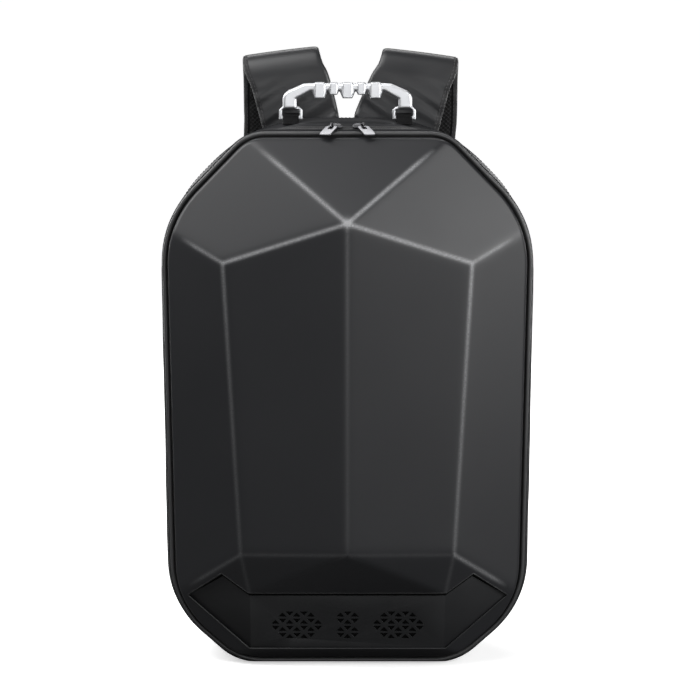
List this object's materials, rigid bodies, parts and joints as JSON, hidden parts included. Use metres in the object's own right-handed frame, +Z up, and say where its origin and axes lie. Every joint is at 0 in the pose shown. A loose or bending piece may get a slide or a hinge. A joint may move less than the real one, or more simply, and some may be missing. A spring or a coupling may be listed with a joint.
{
  "type": "speaker backpack",
  "caption": "Backpack with a faceted hard shell, a pierced speaker panel at its foot, zipped cloth sides, a cast grip handle and padded shoulder straps.",
  "frame": {"origin": "middle of the flat base, on the floor", "axes": "+Z up, the shell faces -Y, the straps are on the +Y side, +X to the right as seen from the front"},
  "size_m": [0.3238, 0.2278, 0.5306],
  "materials": {
    "shell": "moulded shell with a fine-grained matt skin, dark grey",
    "panel": "smooth matt skin, darker grey",
    "speaker": "plain black",
    "piping": "rolled coated edge, dark grey",
    "cloth": "coated cloth, dark grey",
    "zip": "coated black zip",
    "mesh": "padded black mesh",
    "cast": "satin cast metal",
    "webbing": "woven black webbing",
    "chrome": "polished metal",
    "strap": "smooth coated face over padding, dark grey",
    "buckle": "black plastic"
  },
  "bodies": {
    "bag": {"front_shell": "shell", "speaker_panel": "panel", "speaker_box": "speaker", "edge_piping": "piping", "front_gusset": "cloth", "zip_tape": "zip", "rear_gusset": "cloth", "back_panel": "mesh", "handle_loop_right": "webbing", "handle_loop_left": "webbing", "zip_slider_right": "chrome", "zip_slider_left": "chrome", "shoulder_strap_right": "strap", "shoulder_strap_left": "strap", "strap_buckle_right": "buckle", "strap_buckle_left": "buckle", "buckle_loop_right": "webbing", "buckle_loop_left": "webbing", "strap_webbing_right": "webbing", "strap_webbing_left": "webbing", "strap_anchor_right": "cloth", "strap_anchor_left": "cloth"},
    "handle": {"handle": "cast"},
    "zip_pull_right": {"zip_pull_right": "chrome"},
    "zip_pull_left": {"zip_pull_left": "chrome"}
  },
  "joints": [
    {"name": "handle_hinge", "type": "hinge", "parent": "bag", "child": "handle", "pos_m": [0, 0.008, 0.4731], "axis": [1, 0, 0], "range_deg": [-70, 65]},
    {"name": "zip_pull_right_hinge", "type": "hinge", "parent": "bag", "child": "zip_pull_right", "pos_m": [0.0134, -0.038, 0.4685], "axis": [-0.9397, -0.342, 0], "range_deg": [0, 115]},
    {"name": "zip_pull_left_hinge", "type": "hinge", "parent": "bag", "child": "zip_pull_left", "pos_m": [-0.0134, -0.038, 0.4685], "axis": [-0.9397, 0.342, 0], "range_deg": [0, 115]}
  ]
}
